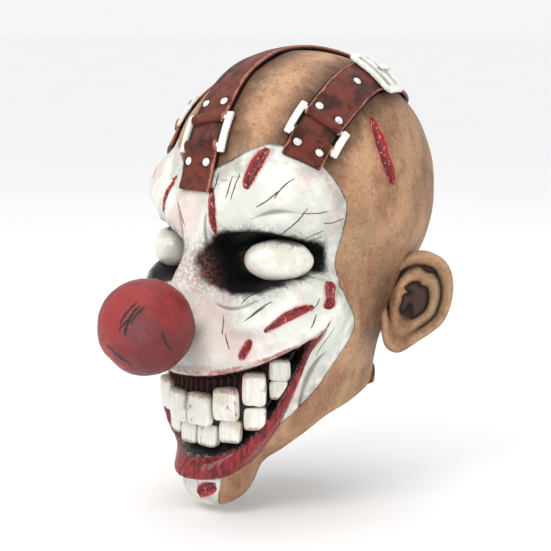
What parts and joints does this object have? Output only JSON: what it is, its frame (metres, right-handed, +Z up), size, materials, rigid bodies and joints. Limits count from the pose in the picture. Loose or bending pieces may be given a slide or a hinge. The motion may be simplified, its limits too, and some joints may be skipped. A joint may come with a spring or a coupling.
{
  "type": "clown mask",
  "caption": "Full-head latex clown mask with a red ball nose, white eyeballs, rows of teeth and buckled leather straps.",
  "frame": {"origin": "the highest point inside the crown, where the mask hangs on a head", "axes": "+Z up, the face looks along -Y, +X is the wearer's left"},
  "size_m": [0.2098, 0.322, 0.3427],
  "materials": {
    "painted_latex": "satin",
    "red_latex": "satin",
    "white_eye": "satin",
    "tooth_paint": "satin",
    "brown_leather": "satin",
    "pale_metal": "satin"
  },
  "bodies": {
    "root": {"mask_skin": "painted_latex", "nose_ball": "red_latex", "eyeball_left": "white_eye", "eyeball_right": "white_eye", "tooth_upper_1": "tooth_paint", "tooth_lower_1": "tooth_paint", "tooth_upper_2": "tooth_paint", "tooth_lower_2": "tooth_paint", "tooth_upper_3": "tooth_paint", "tooth_lower_3": "tooth_paint", "tooth_upper_4": "tooth_paint", "tooth_lower_4": "tooth_paint", "tooth_upper_5": "tooth_paint", "tooth_lower_5": "tooth_paint", "tooth_upper_6": "tooth_paint", "tooth_lower_6": "tooth_paint", "tooth_upper_7": "tooth_paint", "tooth_lower_7": "tooth_paint", "tooth_upper_8": "tooth_paint", "tooth_lower_8": "tooth_paint", "strap_centre_lower": "brown_leather", "strap_centre_upper": "brown_leather", "strap_centre_backing": "brown_leather", "link_centre": "pale_metal", "rivet_centre_lower_a": "pale_metal", "rivet_centre_lower_b": "pale_metal", "rivet_centre_upper_a": "pale_metal", "rivet_centre_upper_b": "pale_metal", "rivet_centre_back_a": "pale_metal", "rivet_centre_back_b": "pale_metal", "strap_left_lower": "brown_leather", "strap_left_upper": "brown_leather", "strap_left_backing": "brown_leather", "link_left": "pale_metal", "rivet_left_lower_a": "pale_metal", "rivet_left_lower_b": "pale_metal", "rivet_left_upper_a": "pale_metal", "rivet_left_upper_b": "pale_metal", "buckle_left": "pale_metal", "prong_left": "pale_metal", "rivet_left_buckle": "pale_metal", "strap_right_lower": "brown_leather", "strap_right_upper": "brown_leather", "strap_right_backing": "brown_leather", "link_right": "pale_metal", "rivet_right_lower_a": "pale_metal", "rivet_right_lower_b": "pale_metal", "rivet_right_upper_a": "pale_metal", "rivet_right_upper_b": "pale_metal", "buckle_right": "pale_metal", "prong_right": "pale_metal", "rivet_right_buckle": "pale_metal"}
  },
  "joints": []
}
